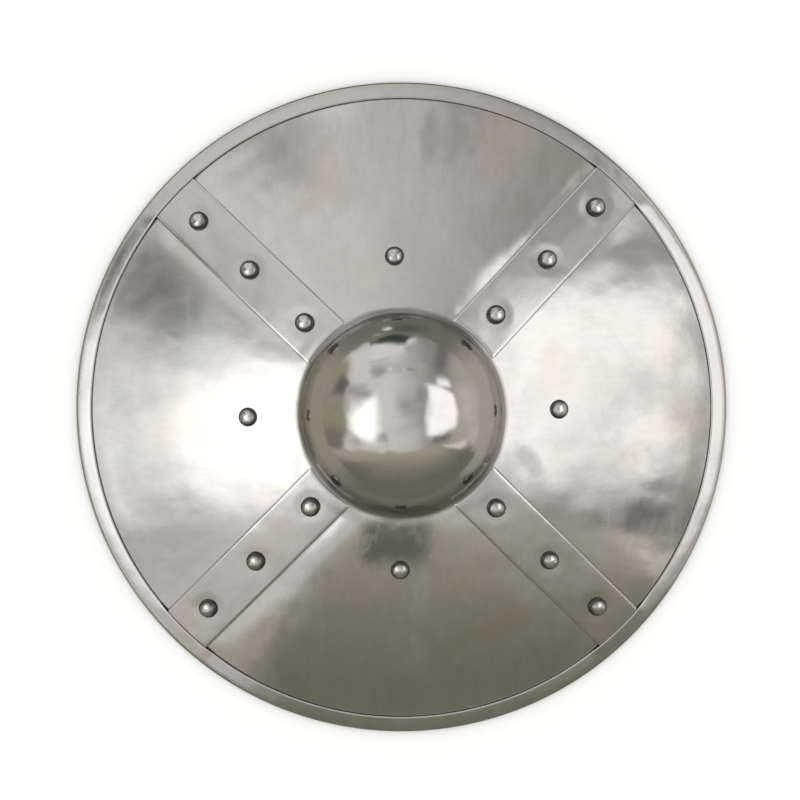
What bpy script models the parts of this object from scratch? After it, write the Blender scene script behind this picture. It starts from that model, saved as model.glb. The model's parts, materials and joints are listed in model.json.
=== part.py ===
"""Round steel buckler: a dished and bossed face plate, four riveted bands,
a folded rim binding and a hand grip across the hollow of the boss.

It lies on its rim with the boss up. Metres, +Z up, origin under the centre.
"""

import math

import bmesh
import bpy
from mathutils import Euler, Matrix, Vector

# Overall sizes
OUTER_RADIUS = 0.2286
SHEET = 0.0012
DISH_STEEPNESS = 0.5
DISH_ROUNDING = 0.140
DISH_RINGS = (0.092, 0.110, 0.130, 0.155, 0.180, 0.205)
GAP = 0.0003
AROUND = 56
SMOOTH_ANGLE = 35.0
MERGE_DISTANCE = 1e-6

# Boss
BOSS_BALL_RADIUS = 0.0762
BOSS_FOOT_RADIUS = 0.0733
BOSS_FILLET = 0.0088

# Rim binding
BINDING_SHEET = 0.0010
BINDING_FLANGE = 0.0095

# Bands
BAND_WIDTH = 0.0375
BAND_INNER_RADIUS = 0.0725
BAND_TUCK = 0.0012
BAND_ANGLES = {"north_east": 45.2, "north_west": 135.9, "south_west": 224.7, "south_east": 313.8}
BAND_RIVETS = {
    "north_east": {"inner": 0.0935, "middle": 0.1455, "outer": 0.1955},
    "north_west": {"inner": 0.0910, "middle": 0.1435, "outer": 0.1930},
    "south_west": {"inner": 0.0900, "middle": 0.1450, "outer": 0.1940},
    "south_east": {"inner": 0.0920, "middle": 0.1455, "outer": 0.1945},
}

# Rivets
RIVET_HEAD_RADIUS = 0.0067
RIVET_HEAD_HEIGHT = 0.0048
RIVET_SHANK_RADIUS = 0.0025
RIVET_TAIL_RADIUS = 0.0045
RIVET_TAIL_HEIGHT = 0.0020
RIVET_SIDES = 10
SHANK_CLEARANCE = 0.0004
DRILL_LENGTH = 0.024
PLATE_RIVETS = {
    "east": (0.1085, 0.2),
    "north": (0.1080, 91.6),
    "west": (0.1060, 180.5),
    "south": (0.1090, 268.4),
}

# Grip
GRIP_WIDTH = 0.025
GRIP_THICKNESS = 0.003
GRIP_OFFSET = -0.003
GRIP_FOOT_INNER = 0.0955
GRIP_FOOT_MIDDLE = 0.109
GRIP_FOOT_OUTER = 0.1225
GRIP_CORNER = 0.007
GRIP_BEND_RUN = 0.006
GRIP_GAP = 0.0008
WRAP_LENGTH = 0.096
WRAP_WIDTH = 0.032
WRAP_THICKNESS = 0.012
WRAP_SIDES = 20


def dish_slope(r):
    """Angle of the plate below level at radius r: level in the middle, then nearly a cone."""
    return math.atan(DISH_STEEPNESS * r / math.hypot(r, DISH_ROUNDING))


# Worked out from the sizes above. The binding folds round a half circle that
# holds the plate, a band and their gaps, so the fold sets where the plate ends.
FOLD_INNER = (2 * SHEET + 3 * GAP) / 2
FOLD_OUTER = FOLD_INNER + BINDING_SHEET
FOLD_CENTRE_R = OUTER_RADIUS - FOLD_OUTER
EDGE_SLOPE = dish_slope(FOLD_CENTRE_R)
FOLD_CENTRE_Z = FOLD_OUTER * math.cos(EDGE_SLOPE)
PLATE_TOP_DROP = GAP / 2
PLATE_EDGE_R = FOLD_CENTRE_R - PLATE_TOP_DROP * math.sin(EDGE_SLOPE)
PLATE_EDGE_Z = FOLD_CENTRE_Z - PLATE_TOP_DROP * math.cos(EDGE_SLOPE)


def dish_point(r, out=0.0):
    """(radius, height) of the plate's front surface at r, moved out along its normal."""
    fall = math.hypot(PLATE_EDGE_R, DISH_ROUNDING) - math.hypot(r, DISH_ROUNDING)
    height = PLATE_EDGE_Z + DISH_STEEPNESS * fall
    slope = dish_slope(r)
    return r + out * math.sin(slope), height + out * math.cos(slope)


def steel(name, colour, roughness):
    """Bare steel with a given tint and polish."""
    return principled(name, colour, roughness, 1.0)


def principled(name, colour, roughness, metallic):
    """A Principled material with uniform values."""
    material = bpy.data.materials.new(name)
    material.use_nodes = True
    shader = material.node_tree.nodes["Principled BSDF"]
    shader.inputs["Base Color"].default_value = (*colour, 1.0)
    shader.inputs["Roughness"].default_value = roughness
    shader.inputs["Metallic"].default_value = metallic
    material.diffuse_color = (*colour, 1.0)
    return material


def finish_mesh(bm, name):
    """Turn a bmesh into a mesh with faces pointing out and smooth round surfaces."""
    bmesh.ops.recalc_face_normals(bm, faces=bm.faces[:])
    mesh = bpy.data.meshes.new(name)
    bm.to_mesh(mesh)
    bm.free()
    mesh.shade_smooth()
    mesh.set_sharp_from_angle(angle=math.radians(SMOOTH_ANGLE))
    return mesh


def add_object(name, mesh, material):
    """Link a named object that carries one material."""
    if not mesh.materials:
        mesh.materials.append(material)
    obj = bpy.data.objects.new(name, mesh)
    bpy.context.scene.collection.objects.link(obj)
    return obj


def turned(name, outline, sides, closed):
    """Spin an outline of (radius, height) points round Z into a closed mesh."""
    bm = bmesh.new()
    verts = [bm.verts.new((r, 0.0, z)) for r, z in outline]
    edges = [bm.edges.new(pair) for pair in zip(verts, verts[1:])]
    if closed:
        edges.append(bm.edges.new((verts[-1], verts[0])))
    bmesh.ops.spin(
        bm,
        geom=verts + edges,
        cent=(0, 0, 0),
        axis=(0, 0, 1),
        angle=2 * math.pi,
        steps=sides,
        use_merge=True,
    )
    bmesh.ops.remove_doubles(bm, verts=bm.verts[:], dist=MERGE_DISTANCE)
    return finish_mesh(bm, name)


def on_ellipse(centre, radius_r, radius_z, angle):
    """Point of an ellipse in the (radius, height) plane."""
    return centre[0] + radius_r * math.cos(angle), centre[1] + radius_z * math.sin(angle)


def arc(centre, radius_r, radius_z, start, end, steps):
    """Points on an elliptic arc, both ends included, angles in radians."""
    angles = [start + (end - start) * step / steps for step in range(steps + 1)]
    return [on_ellipse(centre, radius_r, radius_z, angle) for angle in angles]


def boss_profile(depth, radii, boss_steps, fillet_steps):
    """Apex to edge of the plate, at a depth below its front surface.

    The boss is a cap of a ball that a fillet blends into the dish.
    """
    slope = dish_slope(BOSS_FOOT_RADIUS)
    fillet_r, fillet_z = dish_point(BOSS_FOOT_RADIUS, BOSS_FILLET)
    apart = BOSS_BALL_RADIUS + BOSS_FILLET
    steepest = math.asin(fillet_r / apart)
    ball_z = fillet_z - apart * math.cos(steepest)
    ball = BOSS_BALL_RADIUS - depth
    boss = arc((0, ball_z), ball, ball, math.pi / 2, math.pi / 2 - steepest, boss_steps)
    reach = BOSS_FILLET + depth
    ends = (1.5 * math.pi - steepest, 1.5 * math.pi - slope)
    fillet = arc((fillet_r, fillet_z), reach, reach, *ends, fillet_steps)
    dish = [dish_point(r, -depth) for r in radii]
    boss[0] = (0.0, boss[0][1])
    return boss + fillet[1:] + dish


def make_face_plate(material):
    """Dished disc with the boss raised in the same sheet, hollow behind."""
    front_radii = (*DISH_RINGS, PLATE_EDGE_R)
    foot_radii = (GRIP_FOOT_INNER, GRIP_FOOT_MIDDLE, GRIP_FOOT_OUTER)
    rivet_radii = [BAND_RIVETS["south_east"][station] for station in ("middle", "outer")]
    back_radii = (*foot_radii, *rivet_radii, PLATE_EDGE_R)
    front = boss_profile(0.0, front_radii, 7, 3)
    back = boss_profile(SHEET, back_radii, 6, 2)
    mesh = turned("face_plate", front + back[::-1], AROUND, closed=False)
    return add_object("face_plate", mesh, material)


def make_rim_binding(material):
    """Strip folded round the edge, with a narrow level land underneath to lie on."""
    up = math.pi / 2 - EDGE_SLOPE
    centre = (FOLD_CENTRE_R, FOLD_CENTRE_Z)
    fold = arc(centre, FOLD_OUTER, FOLD_OUTER, up, -up, 4)
    fold.append(on_ellipse(centre, FOLD_OUTER, FOLD_OUTER, up - math.pi))
    cavity = arc(centre, FOLD_INNER, FOLD_INNER, up - math.pi, up, 4)
    inward = Vector((-math.cos(EDGE_SLOPE), math.sin(EDGE_SLOPE))) * BINDING_FLANGE
    below_end = [tuple(Vector(fold[-1]) + inward), tuple(Vector(cavity[0]) + inward)]
    above_end = [tuple(Vector(cavity[-1]) + inward), tuple(Vector(fold[0]) + inward)]
    mesh = turned("rim_binding", fold + below_end + cavity + above_end, AROUND, closed=True)
    return add_object("rim_binding", mesh, material)


def make_band(name, angle, material, cutter):
    """Flat strap that follows the dish from the boss to under the binding."""
    outer = FOLD_CENTRE_R - BAND_TUCK
    along = 9
    across = 4
    rows = []
    for level in (GAP, GAP + SHEET):
        for i in range(along + 1):
            r = BAND_INNER_RADIUS + (outer - BAND_INNER_RADIUS) * i / along
            reach, z = dish_point(r, level)
            row = []
            for j in range(across + 1):
                v = BAND_WIDTH * (j / across - 0.5)
                row.append((math.sqrt(reach**2 - v**2), v, z))
            rows.append(row)
    bm = bmesh.new()
    grid = [[bm.verts.new(co) for co in row] for row in rows]
    below, above = grid[: along + 1], grid[along + 1 :]
    for sheet in (below, above):
        for i in range(along):
            for j in range(across):
                bm.faces.new((sheet[i][j], sheet[i + 1][j], sheet[i + 1][j + 1], sheet[i][j + 1]))
    for i in range(along):
        for j in (0, across):
            bm.faces.new((below[i][j], below[i + 1][j], above[i + 1][j], above[i][j]))
    for j in range(across):
        for i in (0, along):
            bm.faces.new((below[i][j], below[i][j + 1], above[i][j + 1], above[i][j]))
    bm.transform(Matrix.Rotation(math.radians(angle), 4, "Z"))
    band = add_object(name, finish_mesh(bm, name), material)
    drill(band, cutter)
    return band


def rivet_mesh(name, below_head, grip):
    """Turned rivet: domed head, shank and peened tail, origin on the plate's front.

    below_head is the head's underside over the plate, grip the depth to the tail.
    """
    head = arc((0, below_head), RIVET_HEAD_RADIUS, RIVET_HEAD_HEIGHT, math.pi / 2, 0, 3)
    head[0] = (0.0, head[0][1])
    shank = [(RIVET_SHANK_RADIUS, below_head), (RIVET_SHANK_RADIUS, -grip)]
    tail = arc((0, -grip), RIVET_TAIL_RADIUS, RIVET_TAIL_HEIGHT, 0, -math.pi / 2, 2)
    tail[-1] = (0.0, tail[-1][1])
    return turned(name, head + shank + tail, RIVET_SIDES, closed=False)


def placement(r, angle):
    """Location and rotation that stand a rivet square to the plate at r and angle."""
    radius, height = dish_point(r)
    turn = math.radians(angle)
    location = Vector((radius * math.cos(turn), radius * math.sin(turn), height))
    return location, Euler((0.0, dish_slope(r), turn))


def rivet_places():
    """(name, radius, angle) of every rivet."""
    places = []
    for corner, stations in BAND_RIVETS.items():
        for station, r in stations.items():
            places.append((f"rivet_{corner}_{station}", r, BAND_ANGLES[corner]))
    for side, (r, angle) in PLATE_RIVETS.items():
        places.append((f"rivet_{side}", r, angle))
    return places


def make_rivets(material):
    """Every rivet is its own object; rivets of one length share a mesh."""
    through_band = rivet_mesh("band_rivet", SHEET + 2 * GAP, SHEET + GAP)
    through_plate = rivet_mesh("plate_rivet", GAP, SHEET + GAP)
    through_grip = rivet_mesh("grip_rivet", GAP, SHEET + GRIP_GAP + GRIP_THICKNESS + GAP)
    for name, r, angle in rivet_places():
        mesh = through_band
        if name in ("rivet_north", "rivet_south"):
            mesh = through_grip
        elif name in ("rivet_east", "rivet_west"):
            mesh = through_plate
        rivet = add_object(name, mesh, material)
        rivet.location, rivet.rotation_euler = placement(r, angle)


def make_hole_cutter():
    """Clearance drills for every shank, joined in one guide object."""
    bm = bmesh.new()
    for _, r, angle in rivet_places():
        location, rotation = placement(r, angle)
        bmesh.ops.create_cone(
            bm,
            cap_ends=True,
            segments=RIVET_SIDES,
            radius1=RIVET_SHANK_RADIUS + SHANK_CLEARANCE,
            radius2=RIVET_SHANK_RADIUS + SHANK_CLEARANCE,
            depth=DRILL_LENGTH,
            matrix=Matrix.LocRotScale(location, rotation, None),
        )
    cutter = bpy.data.objects.new("rivet_hole_cutter", finish_mesh(bm, "rivet_hole_cutter"))
    bpy.context.scene.collection.objects.link(cutter)
    cutter.hide_render = True
    cutter.display_type = "WIRE"
    return cutter


def drill(obj, cutter):
    """Cut the shank holes through an object."""
    boolean = obj.modifiers.new("rivet_holes", "BOOLEAN")
    boolean.operation = "DIFFERENCE"
    boolean.solver = "EXACT"
    boolean.object = cutter


def grip_heights():
    """(distance along Y, height) of the bar's upper face, from centre to foot."""
    feet = (GRIP_FOOT_INNER, GRIP_FOOT_MIDDLE, GRIP_FOOT_OUTER)
    foot = [dish_point(r, -SHEET - GRIP_GAP) for r in feet]
    straight_end = foot[0][0] - GRIP_BEND_RUN
    return [(0.0, foot[0][1]), (straight_end, foot[0][1])] + foot


def is_foot_corner(edge):
    """True for the short upright edges at the four outer corners of the feet."""
    ends = [vert.co for vert in edge.verts]
    same_side = abs(ends[0].x - ends[1].x) < MERGE_DISTANCE
    upright = edge.calc_length() < GRIP_THICKNESS + GAP
    return same_side and upright and min(abs(co.y) for co in ends) > GRIP_FOOT_OUTER - GRIP_CORNER


def make_grip_bar(material, cutter):
    """Flat bar along Y, its feet bent to lie on the back of the plate."""
    half = grip_heights()
    upper = [(-y, z) for y, z in half[:0:-1]] + half
    lower = [(y, z - GRIP_THICKNESS) for y, z in upper]
    bm = bmesh.new()
    edge_x = GRIP_OFFSET - GRIP_WIDTH / 2
    outline = [bm.verts.new((edge_x, y, z)) for y, z in upper + lower[::-1]]
    count = len(upper)
    faces = []
    for i in range(count - 1):
        quad = (outline[i], outline[i + 1], outline[2 * count - 2 - i], outline[2 * count - 1 - i])
        faces.append(bm.faces.new(quad))
    extruded = bmesh.ops.extrude_face_region(bm, geom=faces)["geom"]
    verts = [item for item in extruded if isinstance(item, bmesh.types.BMVert)]
    bmesh.ops.translate(bm, verts=verts, vec=(GRIP_WIDTH, 0, 0))
    ends = [edge for edge in bm.edges if is_foot_corner(edge)]
    bmesh.ops.bevel(bm, geom=ends, offset=GRIP_CORNER, segments=3, profile=0.5, affect="EDGES")
    bar = add_object("grip_bar", finish_mesh(bm, "grip_bar"), material)
    drill(bar, cutter)
    return bar


def make_grip_wrap(material):
    """Leather sleeve round the middle of the bar."""
    middle = grip_heights()[0][1] - GRIP_THICKNESS / 2
    bm = bmesh.new()
    bmesh.ops.create_cone(
        bm,
        cap_ends=True,
        segments=WRAP_SIDES,
        radius1=0.5,
        radius2=0.5,
        depth=WRAP_LENGTH,
        matrix=Matrix.Rotation(math.pi / 2, 4, "X"),
    )
    bmesh.ops.scale(bm, verts=bm.verts[:], vec=(WRAP_WIDTH, 1.0, WRAP_THICKNESS))
    bmesh.ops.translate(bm, verts=bm.verts[:], vec=(GRIP_OFFSET, 0, middle))
    wrap = add_object("grip_wrap", finish_mesh(bm, "grip_wrap"), material)
    slot = bmesh.new()
    size = (GRIP_WIDTH + 2 * GAP, 1.1 * WRAP_LENGTH, GRIP_THICKNESS + 2 * GAP)
    bmesh.ops.create_cube(slot, size=1.0, matrix=Matrix.Diagonal((*size, 1.0)))
    bmesh.ops.translate(slot, verts=slot.verts[:], vec=(GRIP_OFFSET, 0, middle))
    cutter = bpy.data.objects.new("grip_slot_cutter", finish_mesh(slot, "grip_slot_cutter"))
    bpy.context.scene.collection.objects.link(cutter)
    cutter.hide_render = True
    cutter.display_type = "WIRE"
    drill(wrap, cutter)
    return wrap


def main():
    for obj in list(bpy.data.objects):
        bpy.data.objects.remove(obj, do_unlink=True)
    cutter = make_hole_cutter()
    plate = make_face_plate(steel("face_steel", (0.60, 0.59, 0.57), 0.16))
    drill(plate, cutter)
    make_rim_binding(steel("rim_steel", (0.58, 0.57, 0.55), 0.28))
    band_steel = steel("band_steel", (0.58, 0.57, 0.55), 0.24)
    for corner, angle in BAND_ANGLES.items():
        make_band(f"band_{corner}", angle, band_steel, cutter)
    make_rivets(steel("rivet_steel", (0.50, 0.49, 0.47), 0.20))
    make_grip_bar(steel("grip_steel", (0.42, 0.41, 0.40), 0.40), cutter)
    make_grip_wrap(principled("grip_leather", (0.16, 0.08, 0.04), 0.65, 0.0))


main()
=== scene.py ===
import json
import math
import random

import bmesh
import bpy
import numpy as np
from mathutils import Matrix, Vector, noise

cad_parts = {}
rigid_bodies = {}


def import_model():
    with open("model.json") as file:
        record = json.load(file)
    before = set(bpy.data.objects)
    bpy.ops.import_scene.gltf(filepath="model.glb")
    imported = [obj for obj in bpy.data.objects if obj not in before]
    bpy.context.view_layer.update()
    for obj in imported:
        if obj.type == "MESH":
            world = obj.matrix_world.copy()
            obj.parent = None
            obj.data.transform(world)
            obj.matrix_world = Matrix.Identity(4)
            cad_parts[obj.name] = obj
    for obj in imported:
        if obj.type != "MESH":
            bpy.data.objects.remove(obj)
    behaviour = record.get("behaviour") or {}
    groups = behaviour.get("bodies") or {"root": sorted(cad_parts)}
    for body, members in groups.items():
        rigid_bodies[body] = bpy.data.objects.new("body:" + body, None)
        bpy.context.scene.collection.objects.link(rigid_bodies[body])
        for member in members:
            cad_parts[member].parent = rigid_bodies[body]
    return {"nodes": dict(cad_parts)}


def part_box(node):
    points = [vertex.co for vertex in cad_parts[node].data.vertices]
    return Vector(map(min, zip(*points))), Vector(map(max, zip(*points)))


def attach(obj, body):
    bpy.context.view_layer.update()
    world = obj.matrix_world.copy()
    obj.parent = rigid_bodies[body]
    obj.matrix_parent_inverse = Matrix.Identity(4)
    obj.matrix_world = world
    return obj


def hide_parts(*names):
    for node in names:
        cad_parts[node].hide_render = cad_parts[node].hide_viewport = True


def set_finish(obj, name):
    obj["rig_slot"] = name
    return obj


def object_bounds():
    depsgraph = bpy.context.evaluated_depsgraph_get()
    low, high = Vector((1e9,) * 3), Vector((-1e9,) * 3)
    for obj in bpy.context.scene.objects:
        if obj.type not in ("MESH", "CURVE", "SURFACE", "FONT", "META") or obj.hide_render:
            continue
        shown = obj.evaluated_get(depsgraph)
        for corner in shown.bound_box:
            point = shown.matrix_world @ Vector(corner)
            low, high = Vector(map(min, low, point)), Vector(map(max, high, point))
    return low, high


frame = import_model()
cadLow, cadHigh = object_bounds()
print("frame loaded:", len(frame["nodes"]), "pieces")

# The turned form of the shield, in metres. The outer size comes from the frame.
form = {
    "outer": cadHigh.x,
    "sheet": 0.0012,  # thickness of the plate and of the bands
    "steepness": 0.5,  # slope the dish tends to
    "rounding": 0.14,  # radius over which the middle levels out
    "seam": 0.0003,  # clearance between pieces in the frame
    "bossBall": 0.0762,  # radius of the ball that the boss is a cap of
    "bossFoot": 0.0733,  # where its fillet runs out on the dish
    "bossFillet": 0.0088,
    "bindingSheet": 0.001,
    "bindingFlange": 0.0095,
    "bandWidth": 0.0375,
    "barThickness": 0.003,
    "barGap": 0.0008,  # clearance between the plate and the grip bar
}


def dishSlope(r):
    return np.arctan(form["steepness"] * r / np.hypot(r, form["rounding"]))


# where the rim strip folds round the edge of the plate
foldInner = (2 * form["sheet"] + 3 * form["seam"]) / 2
foldOuter = foldInner + form["bindingSheet"]
foldRadius = form["outer"] - foldOuter
foldSlope = float(dishSlope(foldRadius))
foldHeight = foldOuter * math.cos(foldSlope)
plateEdge = foldRadius - form["seam"] / 2 * math.sin(foldSlope)
plateEdgeHeight = foldHeight - form["seam"] / 2 * math.cos(foldSlope)


def dishHeight(r):
    fall = math.hypot(plateEdge, form["rounding"]) - np.hypot(r, form["rounding"])
    return plateEdgeHeight + form["steepness"] * fall


def dishPoint(r, out=0.0):
    slope = dishSlope(r)
    return r + out * np.sin(slope), dishHeight(r) + out * np.cos(slope)


def smooth(value, start, end):
    t = np.clip((value - start) / (end - start), 0.0, 1.0)
    return t * t * (3 - 2 * t)


def nodesOf(kind):
    return [node for node in sorted(frame["nodes"]) if node.startswith(kind)]


def middleOf(node):
    vertices = frame["nodes"][node].data.vertices
    return sum((v.co for v in vertices), Vector()) / len(vertices)


def rivetSeat(node):
    # radius and turn of the place where a rivet's own line meets the dish, found in short steps
    middle = middleOf(node)
    reach = math.hypot(middle.x, middle.y)
    r = reach
    for _ in range(12):
        r = reach - (middle.z - float(dishHeight(r))) * math.tan(float(dishSlope(r)))
    return r, math.atan2(middle.y, middle.x)


# the bands' directions, and each rivet's seat, as the frame has them
bandTurn = {node: math.atan2(middleOf(node).y, middleOf(node).x) for node in nodesOf("band_")}
rivetSeats = {node: rivetSeat(node) for node in nodesOf("rivet_")}
bandHalf = form["bandWidth"] / 2


class Wire:
    # one output socket that takes part in ordinary arithmetic
    def __init__(self, bench, socket):
        self.bench = bench
        self.socket = socket

    def __add__(self, other):
        return self.bench.maths("ADD", self, other)

    def __radd__(self, other):
        return self.bench.maths("ADD", other, self)

    def __sub__(self, other):
        return self.bench.maths("SUBTRACT", self, other)

    def __rsub__(self, other):
        return self.bench.maths("SUBTRACT", other, self)

    def __mul__(self, other):
        return self.bench.maths("MULTIPLY", self, other)

    def __rmul__(self, other):
        return self.bench.maths("MULTIPLY", other, self)

    def __truediv__(self, other):
        return self.bench.maths("DIVIDE", self, other)

    def __rtruediv__(self, other):
        return self.bench.maths("DIVIDE", other, self)


class Bench:
    # the node tree that is being built; colours are written as red, green, blue
    def __init__(self, tree):
        self.tree = tree

    def node(self, kind, settings, sockets, out=0):
        made = self.tree.nodes.new(kind)
        for name, value in settings.items():
            setattr(made, name, value)
        for key, value in sockets.items():
            self.feed(made.inputs[key], value)
        return Wire(self, made.outputs[out] if made.outputs else None)

    def feed(self, socket, value):
        if isinstance(value, Wire):
            self.tree.links.new(value.socket, socket)
        elif socket.type == "RGBA":
            socket.default_value = (*value, 1.0)
        else:
            socket.default_value = value

    def maths(self, operation, first, second=0.0):
        return self.node("ShaderNodeMath", {"operation": operation}, {0: first, 1: second})

    def vectorMaths(self, operation, first, second=(0.0, 0.0, 0.0), out="Vector"):
        return self.node("ShaderNodeVectorMath", {"operation": operation}, {0: first, 1: second}, out)

    def scaled(self, vector, factors):
        return self.vectorMaths("MULTIPLY", vector, factors)

    def dot(self, vector, other):
        return self.vectorMaths("DOT_PRODUCT", vector, other, "Value")

    def part(self, vector, axis):
        return self.node("ShaderNodeSeparateXYZ", {}, {0: vector}, axis)

    def places(self):
        return self.node("ShaderNodeTexCoord", {}, {}, "Object")

    def lay(self):
        # the direction of the brushing, as each mesh carries it
        return self.node("ShaderNodeAttribute", {"attribute_name": "lay"}, {}, "Vector")

    def absolute(self, value):
        return self.maths("ABSOLUTE", value)

    def clamp(self, value):
        return self.node("ShaderNodeClamp", {}, {"Value": value})

    def soft(self, value, start, end):
        ends = {"Value": value, "From Min": start, "From Max": end}
        return self.node("ShaderNodeMapRange", {"interpolation_type": "SMOOTHSTEP"}, ends)

    def mix(self, factor, first, second):
        return self.node("ShaderNodeMix", {"data_type": "RGBA"}, {0: factor, 6: first, 7: second}, 2)

    def turned(self, vector, degrees):
        sockets = {"Vector": vector, "Angle": math.radians(degrees)}
        return self.node("ShaderNodeVectorRotate", {"rotation_type": "Z_AXIS"}, sockets)

    def grain(self, vector, scale, detail=3.0, rough=0.5, warp=0.0):
        sockets = {"Vector": vector, "Scale": scale, "Detail": detail, "Roughness": rough}
        return self.node("ShaderNodeTexNoise", {}, {**sockets, "Distortion": warp})

    def blots(self, vector, noiseSettings, ends):
        # soft blots where a grain passes from the first end to the second
        return self.soft(self.grain(vector, *noiseSettings), *ends)

    def cracks(self, vector, scale):
        settings = {"feature": "DISTANCE_TO_EDGE"}
        return self.node("ShaderNodeTexVoronoi", settings, {"Vector": vector, "Scale": scale})

    def bump(self, height, distance, under=None):
        sockets = {"Height": height, "Distance": distance}
        if under is not None:
            sockets["Normal"] = under
        return self.node("ShaderNodeBump", {}, sockets)


def newFinish(name):
    material = bpy.data.materials.new(name)
    material.use_nodes = True
    material.node_tree.nodes.clear()
    bench = Bench(material.node_tree)
    shader = bench.node("ShaderNodeBsdfPrincipled", {}, {})
    bench.node("ShaderNodeOutputMaterial", {}, {"Surface": shader})
    return material, bench, shader.socket.node


def hairScratches(bench, spots, look):
    # short straight lines in several directions, 1 on a line and 0 beside it
    length, width = look["scratchSize"]
    (scale, detail), ends = look["scratchPlaces"]
    marks = 0.0
    for i, degrees in enumerate(look["scratchTurns"]):
        run = bench.scaled(bench.turned(spots, degrees), (1 / length, 1 / width, 0.0))
        line = bench.blots(run, *look["scratchLines"])
        # each direction keeps to places of its own
        where = bench.blots(bench.scaled(spots, (1.0, 1.0, 1.0 + i)), (scale + 5 * i, detail), ends)
        marks = line * where + marks
    return bench.clamp(marks)


# Painted shade in the joints: dark lines along the band edges and a dark ring round the boss's foot. A
# patchy grain is its noise, then a factor and an amount added.
seamAndFootShade = {
    "seamStart": (0.07, 0.074),  # from the middle of the shield
    "seamOff": 0.0001,  # middle of the line, out from the band's edge
    "seamHalf": (0.0003, 0.0009),  # half width where it starts to fade, and where it ends
    "seamPatchy": ((28.0, 3.0), 1.3, -0.1),
    "footInner": (0.0655, 0.0695),  # radii between which the ring at the boss comes
    "footOuter": (0.0745, 0.0712),  # and goes
    "footRagged": ((60.0, 3.0, 0.6), 0.003),
    "footPatchy": ((24.0, 2.0), 0.9, 0.12),
}


def patchy(bench, spots, noiseSettings, factor, added):
    return bench.grain(spots, *noiseSettings) * factor + added


def ragged(bench, spots, noiseSettings, amount):
    return (bench.grain(spots, *noiseSettings) - 0.5) * amount


def bandSeamShade(bench, spots):
    # painted shadow: a dark line where each band meets the plate, standing in for the shade in the step
    line = 0.0
    for turn in bandTurn.values():
        c, s = math.cos(turn), math.sin(turn)
        beside = bench.absolute(bench.dot(spots, (-s, c, 0.0))) - bandHalf
        ahead = bench.soft(bench.dot(spots, (c, s, 0.0)), *seamAndFootShade["seamStart"])
        gone = bench.soft(bench.absolute(beside - seamAndFootShade["seamOff"]), *seamAndFootShade["seamHalf"])
        line = (1 - gone) * ahead + line
    return bench.clamp(line * patchy(bench, spots, *seamAndFootShade["seamPatchy"]))


def bossFootShade(bench, spots):
    # painted shade: a dark ring in the corner where the boss rises from the plate
    reach = bench.vectorMaths("LENGTH", bench.scaled(spots, (1.0, 1.0, 0.0)), out="Value")
    reach = reach + ragged(bench, spots, *seamAndFootShade["footRagged"])
    ring = bench.soft(reach, *seamAndFootShade["footInner"]) * bench.soft(reach, *seamAndFootShade["footOuter"])
    return ring * patchy(bench, spots, *seamAndFootShade["footPatchy"])


# A painted reflection of the boss's dark underside: a cloudy dark patch on the plate below the boss, where
# it comes and goes, and how unevenly.
bossReflectionLook = {
    "middle": -0.0055,
    "sides": (0.015, 0.03),
    "bottom": (-0.115, -0.095),
    "top": (-0.068, -0.082),
    "cloudScale": (1.0, 0.6, 1.0),
    "cloud": (75.0, 4.0, 0.65, 0.6),
    "cloudShade": ((0.25, 0.55), 0.45, 0.5),
    "sideShift": 0.022,
    "endShift": ((50.0, 3.0, 0.6), 0.02),
}


def bluedPatch(bench, spots):
    cloud = bench.grain(bench.scaled(spots, bossReflectionLook["cloudScale"]), *bossReflectionLook["cloud"])
    x = bench.part(spots, "X") + (cloud - 0.5) * bossReflectionLook["sideShift"]
    y = bench.part(spots, "Y") + ragged(bench, spots, *bossReflectionLook["endShift"])
    sides = 1 - bench.soft(bench.absolute(x - bossReflectionLook["middle"]), *bossReflectionLook["sides"])
    ends, factor, added = bossReflectionLook["cloudShade"]
    shade = bench.soft(cloud, *ends) * factor + added
    return sides * bench.soft(y, *bossReflectionLook["bottom"]) * bench.soft(y, *bossReflectionLook["top"]) * shade


def smudged(bench, spots, look):
    # dark patches at given places: middle, half size, turn in degrees and strength
    uneven = ragged(bench, spots, *look["smudgeRagged"])
    total = 0.0
    for place, (halfLong, halfWide), degrees, strength in look["smudges"]:
        c, s = math.cos(math.radians(degrees)), math.sin(math.radians(degrees))
        away = bench.vectorMaths("SUBTRACT", spots, (*place, 0.0))
        along = bench.dot(away, (c / halfLong, s / halfLong, 0.0))
        across = bench.dot(away, (-s / halfWide, c / halfWide, 0.0))
        reach = bench.maths("SQRT", along * along + across * across) + uneven
        total = bench.soft(reach, *look["smudgeFade"]) * strength + total
    return bench.clamp(total)


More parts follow.
